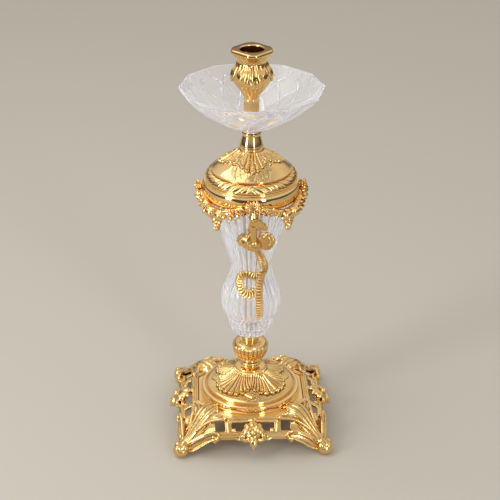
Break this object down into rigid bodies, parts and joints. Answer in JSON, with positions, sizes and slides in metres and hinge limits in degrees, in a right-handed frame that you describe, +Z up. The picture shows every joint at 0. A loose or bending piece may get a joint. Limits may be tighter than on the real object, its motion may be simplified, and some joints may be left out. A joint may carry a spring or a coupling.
{
  "type": "candlestick",
  "caption": "Brass and crystal candlestick: square openwork base on ball feet, fluted glass vase with cast garland, loose glass drip dish and a screw-in candle cup.",
  "frame": {"origin": "centre of the base on the plane that the feet stand on", "axes": "+Z up along the tie rod; -Y towards the front, where the main ribbon hangs; +X to the right seen from the front"},
  "size_m": [0.1674, 0.1674, 0.4],
  "materials": {
    "cast_brass": "cast relief, polished on the high parts and darker in the hollows",
    "polished_brass": "turned and mirror polished",
    "stippled_brass": "cast with a fine scaly texture",
    "dull_brass": "unpolished tube and screws",
    "cut_crystal": "clear cut crystal, polished",
    "zinc_steel": "zinc plated",
    "gasket_rubber": "matte"
  },
  "bodies": {
    "stand": {"base": "cast_brass", "foot_ring": "polished_brass", "foot_dome": "cast_brass", "foot_collar": "polished_brass", "knop": "cast_brass", "vase_seat": "polished_brass", "lower_gasket": "gasket_rubber", "vase": "cut_crystal", "upper_gasket": "gasket_rubber", "rod_sleeve": "dull_brass", "tie_rod": "zinc_steel", "rod_washer": "zinc_steel", "lock_washer": "zinc_steel", "rod_nut": "zinc_steel", "cap_bowl": "polished_brass", "leaf_band": "cast_brass", "cap_dome": "polished_brass", "cap_nut": "zinc_steel", "leaf_calyx": "cast_brass", "neck_spool": "polished_brass", "swag_front_right": "cast_brass", "swag_back_right": "cast_brass", "swag_back_left": "cast_brass", "swag_front_left": "cast_brass", "bow_front": "cast_brass", "bow_right": "cast_brass", "bow_back": "cast_brass", "bow_left": "cast_brass", "garland_screws": "dull_brass", "trophy_front": "cast_brass", "trophy_back": "cast_brass", "ribbon_front": "stippled_brass", "ribbon_back": "stippled_brass"},
    "dish_rest": {"dish_washer": "gasket_rubber"},
    "drip_dish": {"drip_dish": "cut_crystal"},
    "candle_cup": {"cup_stem": "polished_brass", "cup_stud": "zinc_steel", "candle_cup": "cast_brass"}
  },
  "joints": [
    {"name": "dish_lift", "type": "slide", "parent": "stand", "child": "dish_rest", "axis": [0, 0, 1], "range_m": [0, 0.022]},
    {"name": "dish_turn", "type": "hinge", "parent": "dish_rest", "child": "drip_dish", "pos_m": [0, 0, 0.32], "axis": [0, 0, 1], "continuous": true},
    {"name": "cup_lift", "type": "slide", "parent": "stand", "child": "candle_cup", "axis": [0, 0, 1], "range_m": [0, 0.06]}
  ]
}
